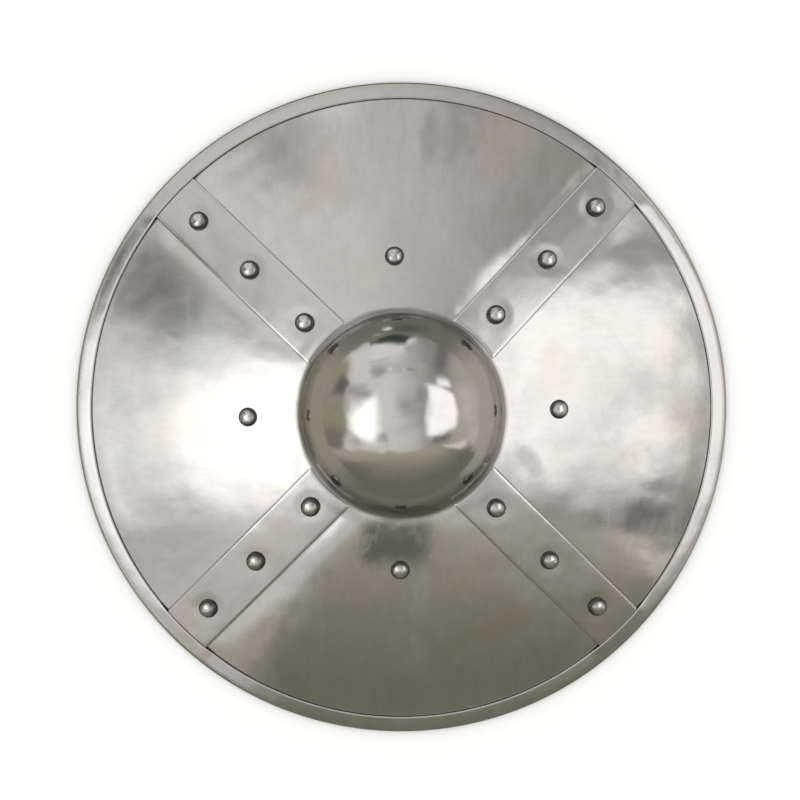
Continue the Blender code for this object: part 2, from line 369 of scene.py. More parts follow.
def steelFinish(name, look):
    material, bench, shader = newFinish(name)
    spots = bench.places()
    lay = spots if look["marks"] == "boss" else bench.lay()
    # brushing runs along the first axis of the lay
    (length, width), brushDepth, brushRough = look["brush"]
    fine = bench.grain(bench.scaled(lay, (1 / length, 1 / width, 1 / width)), *look["fineBrush"])
    noiseSettings, (along, across) = look["coarseBrush"]
    strokes = bench.scaled(lay, (along / length, across / width, across / width))
    coarse = bench.grain(strokes, *noiseSettings)
    # places where hands and cloths have dulled or polished the surface
    dull = bench.blots(spots, *look["dull"])
    smear = bench.blots(bench.scaled(spots, look["smearScale"]), *look["smear"])
    away = bench.vectorMaths("DISTANCE", spots, look["speckledAt"], "Value")
    speck = bench.blots(spots, *look["specks"]) * bench.soft(away, *look["speckledReach"])
    scratched = hairScratches(bench, spots, look)
    mottle = bench.blots(bench.scaled(lay, look["mottleScale"]), *look["mottles"])
    # the tone's layers, one over another
    layers = {
        "stain": bench.blots(spots, *look["stains"]) * look["stainShare"],
        "green": bench.blots(spots, *look["greens"]) * look["greenShare"],
        "mottle": mottle * look["mottleShare"],
        "dull": bench.clamp(dull * look["dullShare"] + speck * look["speckShare"]),
    }
    if look["marks"] == "boss":
        # painted shade: a dark ring round the boss's foot
        layers["crevice"] = bossFootShade(bench, spots)
    if look["marks"] == "plate":
        # darker tone in patches at given places on the plate
        layers["smudge"] = smudged(bench, spots, look)
        # painted reflection: the plate below the boss darkens where it would mirror the boss's dark
        # underside
        layers["blued"] = bluedPatch(bench, spots)
        # painted shade: dark lines along the band edges and a dark ring round the boss's foot
        layers["crevice"] = bench.clamp(bandSeamShade(bench, spots) + bossFootShade(bench, spots))
    if look["marks"] == "band":
        inward = bandHalf - bench.absolute(bench.part(lay, "Y"))
        layers["shine"] = bench.soft(inward, *look["edgeShine"])
    if look["marks"] == "rivet":
        height = bench.part(lay, "Z")
        head = bench.soft(height, *look["headStart"])
        # painted shade: the side of each rivet head darkens to a near-black ring towards its foot
        layers["crevice"] = bench.soft(height, *look["headFoot"]) * head * look["footShare"]
    tone = look["colour"]
    for layer, share in layers.items():
        tone = bench.mix(share, tone, look[layer + "Colour"])
    bench.feed(shader.inputs["Base Color"], tone)
    rough = look["rough"] + dull * look["dullRough"] + smear * look["smearRough"]
    rough = rough + (fine - 0.5) * brushRough + scratched * look["scratchRough"]
    rough = rough + speck * look["speckRough"]
    # the painted shade also makes the steel rougher
    if "crevice" in layers:
        rough = rough + layers["crevice"] * look["creviceRough"]
    if "shine" in layers:
        rough = rough + layers["shine"] * look["shineRough"]
    bench.feed(shader.inputs["Roughness"], bench.clamp(rough))
    shader.inputs["Metallic"].default_value = 1.0
    # the relief, from the longest waves to the finest cuts
    waveGrain, waveDepth = look["waves"]
    normal = None
    for height, depth in (
        (bench.grain(spots, *waveGrain), waveDepth),
        (bench.grain(bench.scaled(lay, look["cloudScale"]), *look["clouds"]), look["cloudDepth"]),
        (bench.grain(spots, *look["skin"]), look["skinDepth"]),
        (fine * look["fineShare"] + coarse * (1 - look["fineShare"]), brushDepth),
        (1 - scratched, look["scratchDepth"]),
    ):
        normal = bench.bump(height, depth, normal)
    bench.feed(shader.inputs["Normal"], normal)
    return material


# A grain is its scale, detail, roughness and distortion; blots are a grain and the two
# values that they fade between. Sizes and depths are in metres. A scale of three numbers
# stretches a grain: along the brushing, and twice across it.
faceLook = {
    "marks": "plate",
    "colour": (0.625, 0.615, 0.59),
    "stains": ((17.0, 3.0, 0.55, 0.4), (0.52, 0.72)),
    "stainShare": 0.5,
    "stainColour": (0.6, 0.545, 0.475),
    "greens": ((13.0, 3.0, 0.55, 0.5), (0.48, 0.72)),
    "greenShare": 0.5,
    "greenColour": (0.54, 0.56, 0.52),
    "mottles": ((1.0, 5.0, 0.68, 0.5), (0.4, 0.72)),
    "mottleScale": (70.0, 150.0, 150.0),
    "mottleShare": 0.28,
    "mottleColour": (0.47, 0.465, 0.435),
    "dull": ((11.0, 5.0, 0.62, 0.6), (0.46, 0.74)),
    "dullShare": 0.35,
    "dullColour": (0.52, 0.515, 0.5),
    "dullRough": 0.16,
    "smear": ((26.0, 3.0, 0.55, 1.2), (0.52, 0.7)),
    "smearScale": (1.0, 0.45, 1.0),
    "smearRough": 0.05,
    "speckledAt": (-0.139, -0.088, 0.03),
    "speckledReach": (0.03, 0.006),
    "specks": ((560.0, 3.0, 0.6), (0.52, 0.66)),
    "speckShare": 0.55,
    "speckRough": 0.12,
    # colour of the painted reflection of the boss on the plate below it
    "bluedColour": (0.215, 0.24, 0.22),
    "smudges": (
        ((0.088, -0.036), (0.017, 0.0085), -56, 0.62),
        ((-0.09, 0.043), (0.017, 0.0075), -12, 0.42),
        ((-0.084, -0.068), (0.013, 0.008), 30, 0.45),
        ((0.152, -0.077), (0.034, 0.011), 4, 0.36),
    ),
    "smudgeFade": (1.25, 0.35),
    "smudgeRagged": ((85.0, 4.0, 0.62, 0.5), 0.9),
    "smudgeColour": (0.27, 0.27, 0.255),
    "shineColour": (0.68, 0.67, 0.65),
    "shineRough": -0.06,
    # colour of the painted shade along the band edges and round the boss's foot
    "creviceColour": (0.15, 0.145, 0.125),
    "creviceRough": 0.22,
    "rough": 0.135,
    "brush": ((0.06, 0.0007), 0.000007, 0.06),  # size, depth and share in the roughness
    "fineBrush": (1.0, 3.0, 0.6),
    "coarseBrush": ((1.0, 2.0, 0.5), (0.4, 0.22)),  # with its strokes to each fine one
    "fineShare": 0.6,
    "scratchTurns": (12.0, 78.0, 131.0, 162.0),
    "scratchSize": (0.026, 0.0007),
    "scratchLines": ((1.0, 1.0, 0.4), (0.72, 0.79)),
    "scratchPlaces": ((21.0, 2.0), (0.47, 0.62)),
    "scratchDepth": 0.0000003,
    "scratchRough": 0.06,
    "waves": ((16.0, 2.0, 0.45), 0.0012),
    "clouds": (1.0, 1.6, 0.45),
    "cloudScale": (30.0, 44.0, 44.0),
    "cloudDepth": 0.00022,
    "skin": (180.0, 3.0, 0.6),
    "skinDepth": 0.00003,
}

bossLook = {
    **faceLook,
    "marks": "boss",
    "mottleShare": 0.25,
    "dullRough": 0.05,
    "smearRough": 0.03,
    "rough": 0.105,
    "brush": ((0.06, 0.0007), 0.000002, 0.02),
    "waves": ((30.0, 2.0, 0.45), 0.0009),
    "cloudDepth": 0.00005,
    "skinDepth": 0.000012,
}

backLook = {
    **faceLook,
    "marks": "",
    "colour": (0.5, 0.49, 0.465),
    "stainShare": 0.75,
    "stainColour": (0.4, 0.33, 0.26),
    "mottleShare": 0.6,
    "dullColour": (0.4, 0.385, 0.36),
    "dullRough": 0.2,
    "rough": 0.28,
    "waves": ((40.0, 2.0, 0.45), 0.001),
}

bandLook = {
    **faceLook,
    "marks": "band",
    "colour": (0.58, 0.57, 0.55),
    "edgeShine": (0.0019, 0.0009),  # in from the band's edge: none, and all
    "dullRough": 0.12,
    "rough": 0.2,
    "brush": ((0.03, 0.0006), 0.000008, 0.1),
    "waves": ((24.0, 2.0, 0.45), 0.001),
}

rimLook = {
    **faceLook,
    "marks": "",
    "colour": (0.57, 0.56, 0.54),
    "dullRough": 0.1,
    "rough": 0.19,
    "brush": ((0.035, 0.0004), 0.000016, 0.12),
    "waves": ((30.0, 2.0, 0.45), 0.0008),
}

rivetLook = {
    **faceLook,
    "marks": "rivet",
    "colour": (0.7, 0.69, 0.67),
    # colour of the painted shade on the lower side of the rivet heads
    "creviceColour": (0.055, 0.055, 0.048),
    "headStart": (-0.001, -0.0004),  # heights over the seat: the tail gets no painted shade,
    "headFoot": (0.0047, 0.0026),  # and the painted shade, a dark ring, goes up the side of the head
    "footShare": 0.92,
    "dull": ((160.0, 5.0, 0.62, 0.6), (0.46, 0.74)),
    "dullRough": 0.08,
    "rough": 0.115,
    "brush": ((0.004, 0.0006), 0.000007, 0.04),
    "waves": ((260.0, 2.0, 0.45), 0.0001),
}

barLook = {
    **faceLook,
    "marks": "",
    "colour": (0.42, 0.41, 0.4),
    "stainShare": 0.6,
    "stainColour": (0.25, 0.19, 0.15),
    "dullColour": (0.3, 0.285, 0.27),
    "dullRough": 0.18,
    "rough": 0.36,
    "brush": ((0.02, 0.0006), 0.000014, 0.1),
    "waves": ((60.0, 2.0, 0.45), 0.0005),
}

faceSteel = steelFinish("polishedFace", faceLook)
bossSteel = steelFinish("mirrorBoss", bossLook)
backSteel = steelFinish("dullBack", backLook)
bandSteel = steelFinish("brushedBand", bandLook)
rimSteel = steelFinish("brushedRim", rimLook)
rivetSteel = steelFinish("rivetDome", rivetLook)
barSteel = steelFinish("dullBar", barLook)
print("steel finishes made")

leatherLook = {
    "colour": (0.046, 0.025, 0.015),
    "handled": ((45.0, 4.0, 0.6, 0.5), (0.42, 0.68)),
    "handledShare": 0.5,
    "edge": (0.8, 1.0),  # the fall over which the free edge of a turn is worn
    "edgeShare": 0.6,
    "wornColour": (0.125, 0.07, 0.04),
    "wornRough": -0.12,
    "lapped": (0.16, 0.04),
    # colour of the painted shade in the crease where each turn is lapped
    "creviceColour": (0.012, 0.008, 0.006),
    "rough": 0.5,
    "specular": 0.4,
    "poreScale": 850.0,
    "poreEdge": (0.0, 0.35),
    "poreRough": 0.12,
    "poreDepth": 0.00016,
    "folds": (210.0, 4.0, 0.6),
    "foldScale": (1.0, 2.2, 1.0),
    "foldDepth": 0.00028,
}


def leatherFinish(name, look):
    material, bench, shader = newFinish(name)
    spots = bench.places()
    pores = bench.soft(bench.cracks(spots, look["poreScale"]), *look["poreEdge"])
    folds = bench.grain(bench.scaled(spots, look["foldScale"]), *look["folds"])
    # the third value of the lay falls from 1 at the free edge of a turn to 0 where it is lapped
    fall = bench.part(bench.lay(), "Z")
    handled = bench.blots(spots, *look["handled"]) * look["handledShare"]
    worn = bench.clamp(handled + bench.soft(fall, *look["edge"]) * look["edgeShare"])
    tone = bench.mix(worn, look["colour"], look["wornColour"])
    # painted shade: the leather goes near-black in the crease where each turn is lapped by the next
    tone = bench.mix(bench.soft(fall, *look["lapped"]), tone, look["creviceColour"])
    bench.feed(shader.inputs["Base Color"], tone)
    rough = look["rough"] + pores * look["poreRough"] + worn * look["wornRough"]
    bench.feed(shader.inputs["Roughness"], rough)
    shader.inputs["Specular IOR Level"].default_value = look["specular"]
    normal = bench.bump(folds, look["foldDepth"], bench.bump(pores, look["poreDepth"]))
    bench.feed(shader.inputs["Normal"], normal)
    return material


leather = leatherFinish("wornLeather", leatherLook)
print("leather finish made")


def waves(points, seed, layers):
    # gentle hand-made unevenness: a sum of smooth noises of (wavelength, amplitude)
    total = np.zeros(len(points))
    for i, (length, amount) in enumerate(layers):
        offset = Vector((seed * 7.31 + i * 3.7, seed * 2.17, i * 5.9))
        total += [amount * noise.noise(Vector(p) / length + offset) for p in points]
    return total


def newPiece(name, verts, faces, slotName, node, finishes, lay, sharp=None):
    mesh = bpy.data.meshes.new(name)
    mesh.from_pydata([tuple(v) for v in verts], [], faces)
    mesh.validate()
    mesh.shade_smooth()
    attribute = mesh.attributes.new("lay", "FLOAT_VECTOR", "POINT")
    attribute.data.foreach_set("vector", np.asarray(lay, np.float32).ravel())
    for finish in finishes:
        mesh.materials.append(finish)
    if sharp:
        mesh.set_sharp_from_angle(angle=math.radians(sharp))
    piece = bpy.data.objects.new(name, mesh)
    bpy.context.scene.collection.objects.link(piece)
    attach(piece, "root")
    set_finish(piece, slotName)
    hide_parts(node)
    return piece


def spinGrid(outline, segments):
    # points of every ring round Z, ring by ring
    turn = np.linspace(0, 2 * math.pi, segments, endpoint=False)
    rings = np.zeros((len(outline), segments, 3))
    rings[..., 0] = outline[:, 0, None] * np.cos(turn)
    rings[..., 1] = outline[:, 0, None] * np.sin(turn)
    rings[..., 2] = outline[:, 1, None]
    return rings


def gridFaces(rings, segments, wrapRings=False):
    faces = []
    for i in range(rings if wrapRings else rings - 1):
        a = i * segments
        b = (i + 1) % rings * segments
        faces += [(a + j, b + j, b + (j + 1) % segments, a + (j + 1) % segments) for j in range(segments)]
    return faces


def closedFaces(rings, segments):
    # the grid, with a fan at each end to the two poles that follow its points
    count = rings * segments
    last = count - segments
    faces = gridFaces(rings, segments)
    faces += [(count, j, (j + 1) % segments) for j in range(segments)]
    faces += [(count + 1, last + (j + 1) % segments, last + j) for j in range(segments)]
    return faces


def slabFaces(rows, cols):
    # a sheet of rows and columns, the same again below it, and the border between them
    count = rows * cols
    faces = []
    for a in (i * cols + j for i in range(rows - 1) for j in range(cols - 1)):
        faces.append((a, a + cols, a + cols + 1, a + 1))
        faces.append((count + a, count + a + 1, count + a + cols + 1, count + a + cols))
    grid = np.arange(count).reshape(rows, cols)
    border = np.concatenate([grid[:, 0], grid[-1, 1:], grid[-2::-1, -1], grid[0, -2:0:-1]]).tolist()
    faces += [(a, a + count, b + count, b) for a, b in zip(border, border[1:] + border[:1])]
    return faces


def arcPoints(centre, radiusR, radiusZ, start, end, steps):
    angles = np.linspace(start, end, steps + 1)
    return np.stack([centre[0] + radiusR * np.cos(angles), centre[1] + radiusZ * np.sin(angles)], 1)


# A pair of radii is where something starts to come or go, and where it has.
face = {
    "segments": 480,
    "frontRings": (54, 10, 84),  # of the boss, the fillet and the dish
    "backRings": (22, 6, 26),
    "waves": ((0.105, 0.0005), (0.045, 0.0002)),
    "wavesFrom": (0.074, 0.095),
    "wavesTo": (0.203, 0.216),
    "bossWaves": ((0.03, 0.00032), (0.015, 0.00005)),
    "bossTo": (0.06, 0.071),
    "bossSink": 0.00024,  # keeps the waves inside the boss's height
    "ripples": ((0.019, 0.00022), (0.009, 0.00004)),
    "rippleRound": 0.2,  # ripples run out to the edge: their size round the
    "rippleOut": 0.22,  # plate, and outwards
    "ripplesFrom": (0.125, 0.175),
    # how far the plate is pressed down along each side of a band, in metres:
    # first the clockwise side, then the other, the share of it by the boss, and its width
    "grooves": {
        "band_north_east": (0.00008, 0.00102, 0.68, 0.0125),
        "band_north_west": (0.00018, 0.0007, 0.85, 0.0135),
        "band_south_west": (0.00012, 0.00075, 1.5, 0.018),
        "band_south_east": (0.00035, 0.0001, 1.0, 0.018),
    },
    "groovesFrom": (0.074, 0.084),
    "groovesTo": (0.2, 0.216),
    "nearBoss": (0.085, 0.15),
}


def pressed(x, y):
    # depth of the hollows that the riveted bands have drawn into the plate
    depth = np.zeros(np.shape(x))
    for node, turn in bandTurn.items():
        along = x * math.cos(turn) + y * math.sin(turn)
        v = y * math.cos(turn) - x * math.sin(turn)
        clockwise, other, near, width = face["grooves"][node]
        share = np.clip(v / bandHalf / 2 + 0.5, 0, 1)
        beside = np.abs(v) - bandHalf
        fade = np.clip(1 - beside / width, 0, 1) ** 2
        hollow = (clockwise + (other - clockwise) * share) * fade
        hollow *= near + (1 - near) * smooth(along, *face["nearBoss"])
        depth = np.where(along > 0, np.maximum(depth, hollow), depth)
    return depth


def plateShift(points):
    # how far the plate's front stands off the true dish, along its normal
    x, y = points[:, 0], points[:, 1]
    r = np.hypot(x, y)
    press = pressed(x, y) * smooth(r, *face["groovesFrom"]) * (1 - smooth(r, *face["groovesTo"]))
    spread = np.maximum(r, 0.001) / face["rippleRound"]
    polar = np.stack([x / spread, y / spread, r * face["rippleOut"]], 1)
    ripples = waves(polar, 3, face["ripples"]) * smooth(r, *face["ripplesFrom"])
    dish = (waves(points, 1, face["waves"]) + ripples) * smooth(r, *face["wavesFrom"])
    dish *= 1 - smooth(r, *face["wavesTo"])
    boss = (waves(points, 2, face["bossWaves"]) - face["bossSink"]) * (1 - smooth(r, *face["bossTo"]))
    return dish + boss - press


def sheetOutline(depth, bossSteps, filletSteps, dishSteps):
    # apex to edge of the plate at a depth under its front
    foot = form["bossFoot"]
    apart = form["bossBall"] + form["bossFillet"]
    filletR, filletZ = dishPoint(foot, form["bossFillet"])
    steepest = math.asin(filletR / apart)
    ballZ = filletZ - apart * math.cos(steepest)
    ball = form["bossBall"] - depth
    boss = arcPoints((0, ballZ), ball, ball, math.pi / 2, math.pi / 2 - steepest, bossSteps)
    boss[0, 0] = 0.0
    reach = form["bossFillet"] + depth
    turns = (1.5 * math.pi - steepest, 1.5 * math.pi - float(dishSlope(foot)))
    fillet = arcPoints((filletR, filletZ), reach, reach, *turns, filletSteps)
    radii = np.linspace(foot, plateEdge, dishSteps + 1)[1:]
    return np.concatenate([boss, fillet[1:], np.stack(dishPoint(radii, -depth), 1)])


def outlineNormals(outline):
    step = np.gradient(outline, axis=0)
    normal = np.stack([-step[:, 1], step[:, 0]], 1)
    return normal / np.linalg.norm(normal, axis=1)[:, None]


def makeFacePlate():
    segments = face["segments"]
    front = sheetOutline(0.0, *face["frontRings"])
    back = sheetOutline(form["sheet"], *face["backRings"])[::-1]
    outline = np.concatenate([front, back])
    normals = np.concatenate([outlineNormals(front), -outlineNormals(back)])
    # the first and the last ring are the two poles
    rings = spinGrid(outline[1:-1], segments)
    points = rings.reshape(-1, 3)
    shift = plateShift(points)
    points = points + spinGrid(normals[1:-1], segments).reshape(-1, 3) * shift[:, None]
    poles = np.array([(0, 0, outline[0, 1]), (0, 0, outline[-1, 1])])
    poles[:, 2] += plateShift(poles)
    verts = np.concatenate([points, poles])
    # brushing runs out from the middle in each quarter
    angle = np.arctan2(verts[:, 1], verts[:, 0])
    quarter = np.round(angle / (math.pi / 2)) * math.pi / 2
    along = verts[:, 0] * np.cos(quarter) + verts[:, 1] * np.sin(quarter)
    across = verts[:, 1] * np.cos(quarter) - verts[:, 0] * np.sin(quarter)
    # the third value tells the quarters apart
    lay = np.stack([along, across, np.cos(quarter) + 2 * np.sin(quarter)], 1)
    finishes = [faceSteel, bossSteel, backSteel]
    faces = closedFaces(len(rings), segments)
    piece = newPiece("facePlate", verts, faces, "face_steel", "face_plate", finishes, lay, sharp=60)
    bossEdge = form["bossFoot"] * 0.97
    backStart = (len(front) - 1) * segments
    for polygon in piece.data.polygons:
        if min(polygon.vertices) >= backStart:
            polygon.material_index = 2
        elif math.hypot(polygon.center.x, polygon.center.y) < bossEdge:
            polygon.material_index = 1


makeFacePlate()
print("face plate made")

band = {
    "inner": 0.0725,
    "tuck": 0.0012,  # how far short of the fold the band ends
    "stations": 120,
    "columns": 24,
    "seat": 0.00006,  # clearance over the plate
    "edgeSteps": (0.0, 0.015, 0.055, 0.1, 0.165, 0.3, 0.5, 0.75, 1.0),
    "edgeWide": 0.0017,  # width over which the hammered edges fall away
    "edgeFall": 0.00042,
    "edgeRound": 0.00028,  # radius of the filed corner
    "waves": ((0.05, 0.00034), (0.024, 0.0001)),
    "lift": 0.00004,
    "wavesFrom": (0.075, 0.086),
    "wavesTo": (0.2, 0.214),
    "haloDepth": 0.00034,  # the band is drawn down round each rivet
    "haloReach": (0.0055, 0.0135),
}


def filedEdge(distance):
    # how far a rounded edge has dropped at a distance in from it
    left = np.clip(1 - distance / band["edgeRound"], 0, 1)
    fall = np.clip(1 - distance / band["edgeWide"], 0, 1)
    return band["edgeRound"] * (1 - np.sqrt(1 - left**2)) + band["edgeFall"] * fall**2


def makeBand(node, turn):
    near = np.array(band["edgeSteps"]) * band["edgeWide"]
    start = band["inner"] + near
    end = foldRadius - band["tuck"]
    radii = np.concatenate([start, np.linspace(start[-1], end, band["stations"])[1:]])
    side = bandHalf - near
    middle = np.linspace(-side[-1], side[-1], band["columns"])[1:-1]
    reach, v = np.meshgrid(radii, np.concatenate([-side, middle, side[::-1]]), indexing="ij")
    u = np.sqrt(reach**2 - v**2)
    x = u * math.cos(turn) - v * math.sin(turn)
    y = u * math.sin(turn) + v * math.cos(turn)
    points = np.stack([x, y, dishHeight(reach)], -1).reshape(-1, 3)
    slope = dishSlope(reach).ravel()
    radial = np.hypot(points[:, 0], points[:, 1])
    lean = np.sin(slope) / radial
    normal = np.stack([points[:, 0] * lean, points[:, 1] * lean, np.cos(slope)], 1)
    # the band's own waves, and the dimples round its rivets
    seed = 10 + sorted(bandTurn).index(node)
    free = smooth(radial, *band["wavesFrom"]) * (1 - smooth(radial, *band["wavesTo"]))
    own = np.maximum(waves(points, seed, band["waves"]) + band["lift"], 0.0) * free
    for r, angle in (rivetSeats[rivetNode] for rivetNode in nodesOf(node.replace("band", "rivet"))):
        away = np.hypot(points[:, 0] - r * math.cos(angle), points[:, 1] - r * math.sin(angle))
        own -= band["haloDepth"] * (1 - smooth(away, *band["haloReach"]))
    base = plateShift(points) + band["seat"] + own
    drop = filedEdge(bandHalf - np.abs(v)).ravel() + filedEdge(reach - band["inner"]).ravel()
    top = form["sheet"] - np.minimum(drop, band["edgeRound"] + band["edgeFall"])
    verts = np.concatenate([points + normal * (base + top)[:, None], points + normal * base[:, None]])
    lay = np.stack([u.ravel() + seed, v.ravel(), 0 * v.ravel()], 1)
    lay = np.tile(lay, (2, 1))
    faces = slabFaces(*reach.shape)
    newPiece(node.replace("_", "-"), verts, faces, "band_steel", node, [bandSteel], lay, sharp=50)


for node, turn in bandTurn.items():
    makeBand(node, turn)
print("bands made")

rim = {
    "segments": 480,
    "foldSteps": 12,
    "cavitySteps": 10,
    "flangeSteps": 8,
    "lipSteps": (-0.94, -0.6, 0, 0.6, 0.94),  # round both corners of the upper lip
    "lipRound": 0.9,
    "overBands": 0.0003,  # how far the lip is hammered down over the bands
    "onPlate": 0.0015,  # and between them
    "besideBand": (0.0195, 0.03),
    "sagCurve": 1.25,
    "wander": 0.00022,  # unevenness of the strip's inner edge
    "wanderWaves": ((0.05, 1.0), (0.017, 0.35)),
    "lift": 0.0001,
    "liftWaves": ((0.06, 1.0), (0.02, 0.3)),
}


def makeRim():
    up = math.pi / 2 - foldSlope
    centre = np.array([foldRadius, foldHeight])
    inward = np.array([-math.cos(foldSlope), math.sin(foldSlope)])
    outward = np.array([math.sin(foldSlope), math.cos(foldSlope)])
    fold = arcPoints(centre, foldOuter, foldOuter, up, -up, rim["foldSteps"])
    under = arcPoints(centre, foldOuter, foldOuter, up - math.pi, up - math.pi, 0)
    cavity = arcPoints(centre, foldInner, foldInner, up - math.pi, up, rim["cavitySteps"])
    flange = form["bindingFlange"]
    steps = inward * flange * np.linspace(0, 1, rim["flangeSteps"] + 1)[1:, None]
    lowerOut = under[-1] + steps
    lowerIn = cavity[0] + steps[::-1]
    upperIn = cavity[-1] + steps
    upperOut = fold[0] + steps[::-1]
    half = form["bindingSheet"] / 2
    reach = half * rim["lipRound"]
    lip = (upperIn[-1] + upperOut[0]) / 2
    tip = [lip + outward * half * s - inward * reach * (1 - math.sqrt(1 - s * s)) for s in rim["lipSteps"]]
    lower = [fold, under, lowerOut, lowerIn, cavity]
    outline = np.concatenate([*lower, upperIn[:-1], np.array(tip), upperOut[1:]])
    rings = spinGrid(outline, rim["segments"])
    turn = np.linspace(0, 2 * math.pi, rim["segments"], endpoint=False)
    c, s = np.cos(turn), np.sin(turn)
    ringSpots = np.stack([c, s, 0 * turn], 1) * form["outer"]
    wander = rim["wander"] * waves(ringSpots, 21, rim["wanderWaves"])
    lift = rim["lift"] * waves(ringSpots, 22, rim["liftWaves"])
    # the lip is hammered down to the plate between the bands
    apart = [np.abs((turn - angle + math.pi) % (2 * math.pi) - math.pi) for angle in bandTurn.values()]
    nearBand = np.min(apart, axis=0) * form["outer"]
    sag = rim["overBands"] + (rim["onPlate"] - rim["overBands"]) * smooth(nearBand, *rim["besideBand"])
    # only the upper flange moves, most at its lip
    for i in range(sum(len(part) for part in lower), len(outline)):
        share = np.clip((foldRadius - outline[i, 0]) / flange, 0, 1)
        down = sag * share ** rim["sagCurve"]
        out = wander * share - outward[0] * down
        rings[i, :, 0] += out * c
        rings[i, :, 1] += out * s
        rings[i, :, 2] += lift * share - outward[1] * down
    faces = [f[::-1] for f in gridFaces(len(outline), rim["segments"], wrapRings=True)]
    # the lay goes round without a seam
    run = np.concatenate([[0], np.cumsum(np.linalg.norm(np.diff(outline, axis=0), axis=1))])
    lay = np.zeros((len(outline), rim["segments"], 3))
    lay[..., 0] = c * form["outer"]
    lay[..., 1] = run[:, None]
    verts, lay = rings.reshape(-1, 3), lay.reshape(-1, 3)
    newPiece("rimBinding", verts, faces, "rim_steel", "rim_binding", [rimSteel], lay, sharp=50)


makeRim()
print("rim made")

rivet = {
    "headRadius": 0.0067,
    "headHeight": 0.0048,
    "smallest": (0.975, 0.95),  # share of the radius and of the height
    "headWall": 0.0002,  # height of the head's edge over its seat
    "headSink": 0.0001,
    "undercut": 0.985,
    "shankRadius": 0.0025,
    "shankStop": 0.0002,
    "tailRadius": 0.0045,
    "tailHeight": 0.002,
    "tailUndercut": 0.97,
    "tailWall": (0.0001, 0.0003),
    "sides": 48,
    "headRings": 16,
    "tailRings": 8,
    "dents": ((0.005, 1.0), (0.0022, 0.4)),
    "headDents": 0.00008,  # a few soft hammer marks on the dome
    "tailDents": 0.00028,  # and more on the peened tail
    "tilt": 0.02,
}


def makeRivet(node):
    r, angle = rivetSeats[node]
    chance = random.Random(node)
    foot = form["sheet"] + form["seam"] if node.count("_") > 1 else 0.0  # on a band
    grip = form["sheet"]
    if node in ("rivet_north", "rivet_south"):
        grip += form["barGap"] + form["barThickness"]
    headR = rivet["headRadius"] * chance.uniform(rivet["smallest"][0], 1.0)
    headH = rivet["headHeight"] * chance.uniform(rivet["smallest"][1], 1.0)
    seat = foot - rivet["headSink"]
    head = arcPoints((0, foot + rivet["headWall"]), headR, headH, math.pi / 2, 0, rivet["headRings"])
    head[0, 0] = 0.0
    shankR, tailR = rivet["shankRadius"], rivet["tailRadius"]
    collar, wall = rivet["tailWall"]
    neck = np.array([
        (headR * rivet["undercut"], seat),
        (shankR, seat),
        (shankR, rivet["shankStop"] - grip),
        (tailR * rivet["tailUndercut"], -grip - collar),
    ])
    tail = arcPoints((0, -grip - wall), tailR, rivet["tailHeight"], 0, -math.pi / 2, rivet["tailRings"])
    tail[-1, 0] = 0.0
    outline = np.concatenate([head, neck, tail])
    rings = spinGrid(outline[1:-1], rivet["sides"])
    points = rings.reshape(-1, 3)
    dents = waves(points, chance.uniform(0, 50), rivet["dents"])
    radial = points[:, :2] / np.maximum(np.linalg.norm(points[:, :2], axis=1), 1e-6)[:, None]
    amount = np.where(points[:, 2] > 0, rivet["headDents"], rivet["tailDents"])
    points[:, :2] += radial * (dents * amount * (np.abs(points[:, 2]) > 0))[:, None]
    verts = np.concatenate([points, [(0, 0, outline[0, 1]), (0, 0, outline[-1, 1])]])
    lay = verts - (0, 0, foot)
    slope = float(dishSlope(r)) + chance.uniform(-rivet["tilt"], rivet["tilt"])
    place = Matrix.Translation(Vector((r * math.cos(angle), r * math.sin(angle), float(dishHeight(r)))))
    place = place @ Matrix.Rotation(angle, 4, "Z") @ Matrix.Rotation(slope, 4, "Y")
    place = place @ Matrix.Rotation(chance.uniform(0, 6), 4, "Z")
    verts = np.array([place @ Vector(v) for v in verts])
    faces = closedFaces(len(rings), rivet["sides"])
    newPiece(node.replace("_", "-"), verts, faces, "rivet_steel", node, [rivetSteel], lay, sharp=55)


for node in rivetSeats:
    makeRivet(node)
print("rivets made")

bar = {
    "width": 0.025,
    "footInner": 0.0955,
    "footOuter": 0.1225,
    "bendRun": 0.006,
    "corner": 0.007,
    "softEdge": 0.0007,
    "stations": 24,  # along half of the bar
    "footStations": 10,
    "columns": 11,
}


def makeGripBar():
    low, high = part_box("grip_bar")
    centreX = (low.x + high.x) / 2
    back = -form["sheet"] - form["barGap"]
    footRadii = np.linspace(bar["footInner"], bar["footOuter"], bar["footStations"])
    foot = [(float(y), float(z)) for y, z in (dishPoint(r, back) for r in footRadii)]
    straightEnd = foot[0][0] - bar["bendRun"]
    half = [(straightEnd * t, foot[0][1]) for t in np.linspace(0, 1, bar["stations"])] + foot
    line = [(-y, z) for y, z in half[:0:-1]] + half
    columns = np.linspace(-0.5, 0.5, bar["columns"]) * bar["width"]
    points = []
    for down in (0.0, form["barThickness"]):
        for y, z in line:
            # the feet have rounded corners, so their last stations are narrower
            short = max(0.0, abs(y) - (line[-1][0] - bar["corner"]))
            inset = bar["corner"] - math.sqrt(max(0.0, bar["corner"] ** 2 - short**2))
            share = 1 - 2 * inset / bar["width"]
            points += [(centreX + c * share, y, z - down) for c in columns]
    verts = np.array(points)
    faces = slabFaces(len(line), len(columns))
    piece = newPiece("gripBar", verts, faces, "grip_steel", "grip_bar", [barSteel], verts[:, [1, 0, 2]])
    bevel = piece.modifiers.new("softEdges", "BEVEL")
    bevel.width = bar["softEdge"]
    bevel.segments = 2
    bevel.limit_method = "ANGLE"
    bevel.angle_limit = math.radians(50)


